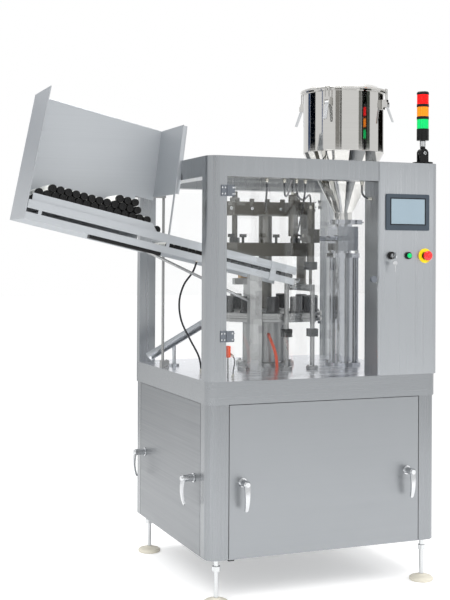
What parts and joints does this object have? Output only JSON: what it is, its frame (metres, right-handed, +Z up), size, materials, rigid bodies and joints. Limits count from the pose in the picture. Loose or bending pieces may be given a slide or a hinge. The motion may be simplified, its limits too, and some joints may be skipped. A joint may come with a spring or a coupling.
{
  "type": "tube filling machine",
  "caption": "Stainless cabinet machine that loads tubes from a sloping magazine into an indexing turret, fills them from a hopper and pump, and seals them.",
  "frame": {"origin": "middle of the footprint's bounding box, on the floor", "axes": "+Z up, +X to the right along the front with the magazine at the left, +Y from the front to the rear"},
  "size_m": [1.6814, 1.0082, 2.115],
  "materials": {
    "nylon_pad": "satin moulded nylon",
    "zinc_steel": "bright turned steel",
    "stainless_frame": "brushed stainless steel",
    "stainless_table": "polished stainless steel",
    "stainless_panel": "brushed stainless sheet",
    "stainless_box": "brushed stainless sheet",
    "bezel_plastic": "dark slate plastic",
    "screen": "pale display film",
    "black_plastic": "black plastic",
    "yellow_plastic": "yellow plastic",
    "green_lens": "green translucent lens",
    "amber_lens": "amber translucent lens",
    "red_lens": "red translucent lens",
    "red_plastic": "red plastic",
    "green_plastic": "green plastic",
    "hopper_steel": "mirror polished stainless steel",
    "valve_steel": "turned stainless steel",
    "turret_aluminium": "machined aluminium",
    "tool_aluminium": "grey machined aluminium",
    "cup_plastic": "dark acetal plastic",
    "tray_steel": "bead-blasted stainless sheet",
    "tube_white": "white laminate",
    "tube_cap": "black plastic",
    "hinge_metal": "grey painted metal",
    "hose_black": "black polyurethane",
    "orange_rubber": "orange rubber",
    "drive_paint": "blue-grey paint",
    "piston_plastic": "white fluoropolymer",
    "jaw_bronze": "bronze",
    "clear_acrylic": "clear acrylic sheet"
  },
  "bodies": {
    "machine": {"foot_pads": "nylon_pad", "foot_stems": "zinc_steel", "cabinet_frame": "stainless_frame", "table_top": "stainless_table", "fixed_panels": "stainless_panel", "upper_frame": "stainless_frame", "control_box": "stainless_box", "screen_bezel": "bezel_plastic", "screen_glass": "screen", "switch_bezels": "black_plastic", "estop_plate": "yellow_plastic", "tower_base": "black_plastic", "hopper": "hopper_steel", "valve_body": "valve_steel", "pump_cylinder": "valve_steel", "fill_head": "tool_aluminium", "turret_base": "turret_aluminium", "tool_gantry": "tool_aluminium", "magazine_tray": "tray_steel", "chute": "tray_steel", "tube_caps": "tube_cap", "tube_bodies": "tube_white", "chute_supports": "zinc_steel", "clamp_blocks": "black_plastic", "discharge_trough": "tray_steel", "guard_hinges": "hinge_metal", "air_hoses": "hose_black", "sensor_head": "orange_rubber", "cam_drive": "drive_paint"},
    "tower_light": {"tower_body": "black_plastic", "tower_green": "green_lens", "tower_amber": "amber_lens", "tower_red": "red_lens"},
    "turret": {"turret_plate": "turret_aluminium", "tube_cups": "cup_plastic"},
    "tool_head": {"tool_bar": "tool_aluminium", "clamp_knobs": "black_plastic"},
    "front_guard_door": {"front_guard": "clear_acrylic", "front_guard_fittings": "hinge_metal"},
    "front_panel": {"front_panel": "stainless_panel"},
    "left_panel": {"left_panel": "stainless_panel"},
    "front_latch_left": {"front_latch_left": "zinc_steel"},
    "front_latch_right": {"front_latch_right": "zinc_steel"},
    "left_latch_front": {"left_latch_front": "zinc_steel"},
    "left_latch_rear": {"left_latch_rear": "zinc_steel"},
    "estop_button": {"estop_button": "red_plastic"},
    "green_button": {"green_button": "green_plastic"},
    "key": {"key": "zinc_steel"},
    "hopper_lid": {"hopper_lid": "hopper_steel"},
    "toggle_1": {"toggle_1": "zinc_steel"},
    "toggle_2": {"toggle_2": "zinc_steel"},
    "toggle_3": {"toggle_3": "zinc_steel"},
    "toggle_4": {"toggle_4": "zinc_steel"},
    "piston": {"piston": "piston_plastic"},
    "valve_plug": {"valve_plug": "valve_steel"},
    "cam_shaft": {"cam_shaft": "zinc_steel"},
    "flipper": {"flipper": "tray_steel"},
    "jaw_left": {"jaw_left": "jaw_bronze"},
    "jaw_right": {"jaw_right": "jaw_bronze"},
    "rear_guard": {"rear_guard": "clear_acrylic"}
  },
  "joints": [
    {"name": "turret_spin", "type": "hinge", "parent": "machine", "child": "turret", "pos_m": [0.31569, 0.14815, 1.066], "axis": [0, 0, 1], "continuous": true},
    {"name": "cam_spin", "type": "hinge", "parent": "machine", "child": "cam_shaft", "pos_m": [0.31069, 0.27815, 0.475], "axis": [1, 0, 0], "continuous": true},
    {"name": "tool_lift", "type": "slide", "parent": "machine", "child": "tool_head", "axis": [0, 0, 1], "range_m": [0, 0.06]},
    {"name": "piston_stroke", "type": "slide", "parent": "machine", "child": "piston", "axis": [0, 0, 1], "range_m": [0, 0.15]},
    {"name": "valve_turn", "type": "hinge", "parent": "machine", "child": "valve_plug", "pos_m": [0.63069, -0.00185, 1.43], "axis": [0, 1, 0], "range_deg": [0, 90]},
    {"name": "flip_turn", "type": "hinge", "parent": "machine", "child": "flipper", "pos_m": [0.37133, -0.02152, 1.215], "axis": [1, 0, 0], "range_deg": [0, 90]},
    {"name": "jaw_left_slide", "type": "slide", "parent": "machine", "child": "jaw_left", "axis": [1, 0, 0], "range_m": [0, 0.018]},
    {"name": "jaw_right_slide", "type": "slide", "parent": "machine", "child": "jaw_right", "axis": [-1, 0, 0], "range_m": [0, 0.018]},
    {"name": "front_guard_swing", "type": "hinge", "parent": "machine", "child": "front_guard_door", "pos_m": [-0.11181, -0.45735, 1.25], "axis": [0, 0, -1], "range_deg": [0, 100]},
    {"name": "rear_guard_swing", "type": "hinge", "parent": "machine", "child": "rear_guard", "pos_m": [0.76319, 0.49865, 1.25], "axis": [0, 0, -1], "range_deg": [0, 100]},
    {"name": "front_panel_off", "type": "slide", "parent": "machine", "child": "front_panel", "axis": [0, -1, 0], "range_m": [0, 0.25]},
    {"name": "left_panel_off", "type": "slide", "parent": "machine", "child": "left_panel", "axis": [-1, 0, 0], "range_m": [0, 0.25]},
    {"name": "front_latch_left_turn", "type": "hinge", "parent": "front_panel", "child": "front_latch_left", "pos_m": [-0.04231, -0.44785, 0.471], "axis": [0, -1, 0], "range_deg": [0, 90]},
    {"name": "front_latch_right_turn", "type": "hinge", "parent": "front_panel", "child": "front_latch_right", "pos_m": [0.69369, -0.44785, 0.471], "axis": [0, -1, 0], "range_deg": [0, 90]},
    {"name": "left_latch_front_turn", "type": "hinge", "parent": "left_panel", "child": "left_latch_front", "pos_m": [-0.18531, -0.29185, 0.471], "axis": [-1, 0, 0], "range_deg": [0, 90]},
    {"name": "left_latch_rear_turn", "type": "hinge", "parent": "left_panel", "child": "left_latch_rear", "pos_m": [-0.18531, 0.33315, 0.471], "axis": [-1, 0, 0], "range_deg": [0, 90]},
    {"name": "lid_lift", "type": "slide", "parent": "machine", "child": "hopper_lid", "axis": [0, 0, 1], "range_m": [0, 0.15]},
    {"name": "toggle_1_turn", "type": "hinge", "parent": "machine", "child": "toggle_1", "pos_m": [0.78273, 0.13266, 2.019], "axis": [0.6626, -0.749, 0], "range_deg": [0, 90]},
    {"name": "toggle_2_turn", "type": "hinge", "parent": "machine", "child": "toggle_2", "pos_m": [0.49617, 0.15019, 2.019], "axis": [0.749, 0.6626, 0], "range_deg": [0, 90]},
    {"name": "toggle_3_turn", "type": "hinge", "parent": "machine", "child": "toggle_3", "pos_m": [0.47865, -0.13636, 2.019], "axis": [-0.6626, 0.749, 0], "range_deg": [0, 90]},
    {"name": "toggle_4_turn", "type": "hinge", "parent": "machine", "child": "toggle_4", "pos_m": [0.7652, -0.15389, 2.019], "axis": [-0.749, -0.6626, 0], "range_deg": [0, 90]},
    {"name": "tower_fold", "type": "hinge", "parent": "machine", "child": "tower_light", "pos_m": [0.79369, -0.40385, 1.787], "axis": [0, -1, 0], "range_deg": [0, 90]},
    {"name": "estop_press", "type": "slide", "parent": "machine", "child": "estop_button", "axis": [0, 1, 0], "range_m": [0, 0.004], "stiffness_N_per_m": 2000},
    {"name": "green_press", "type": "slide", "parent": "machine", "child": "green_button", "axis": [0, 1, 0], "range_m": [0, 0.004], "stiffness_N_per_m": 1000},
    {"name": "key_turn", "type": "hinge", "parent": "machine", "child": "key", "pos_m": [0.61369, -0.45185, 1.356], "axis": [0, 1, 0], "range_deg": [0, 90]}
  ],
  "couplings": [
    {"joint": "cam_spin", "follows": "turret_spin", "ratio": 12},
    {"joint": "jaw_right_slide", "follows": "jaw_left_slide", "ratio": 1}
  ]
}
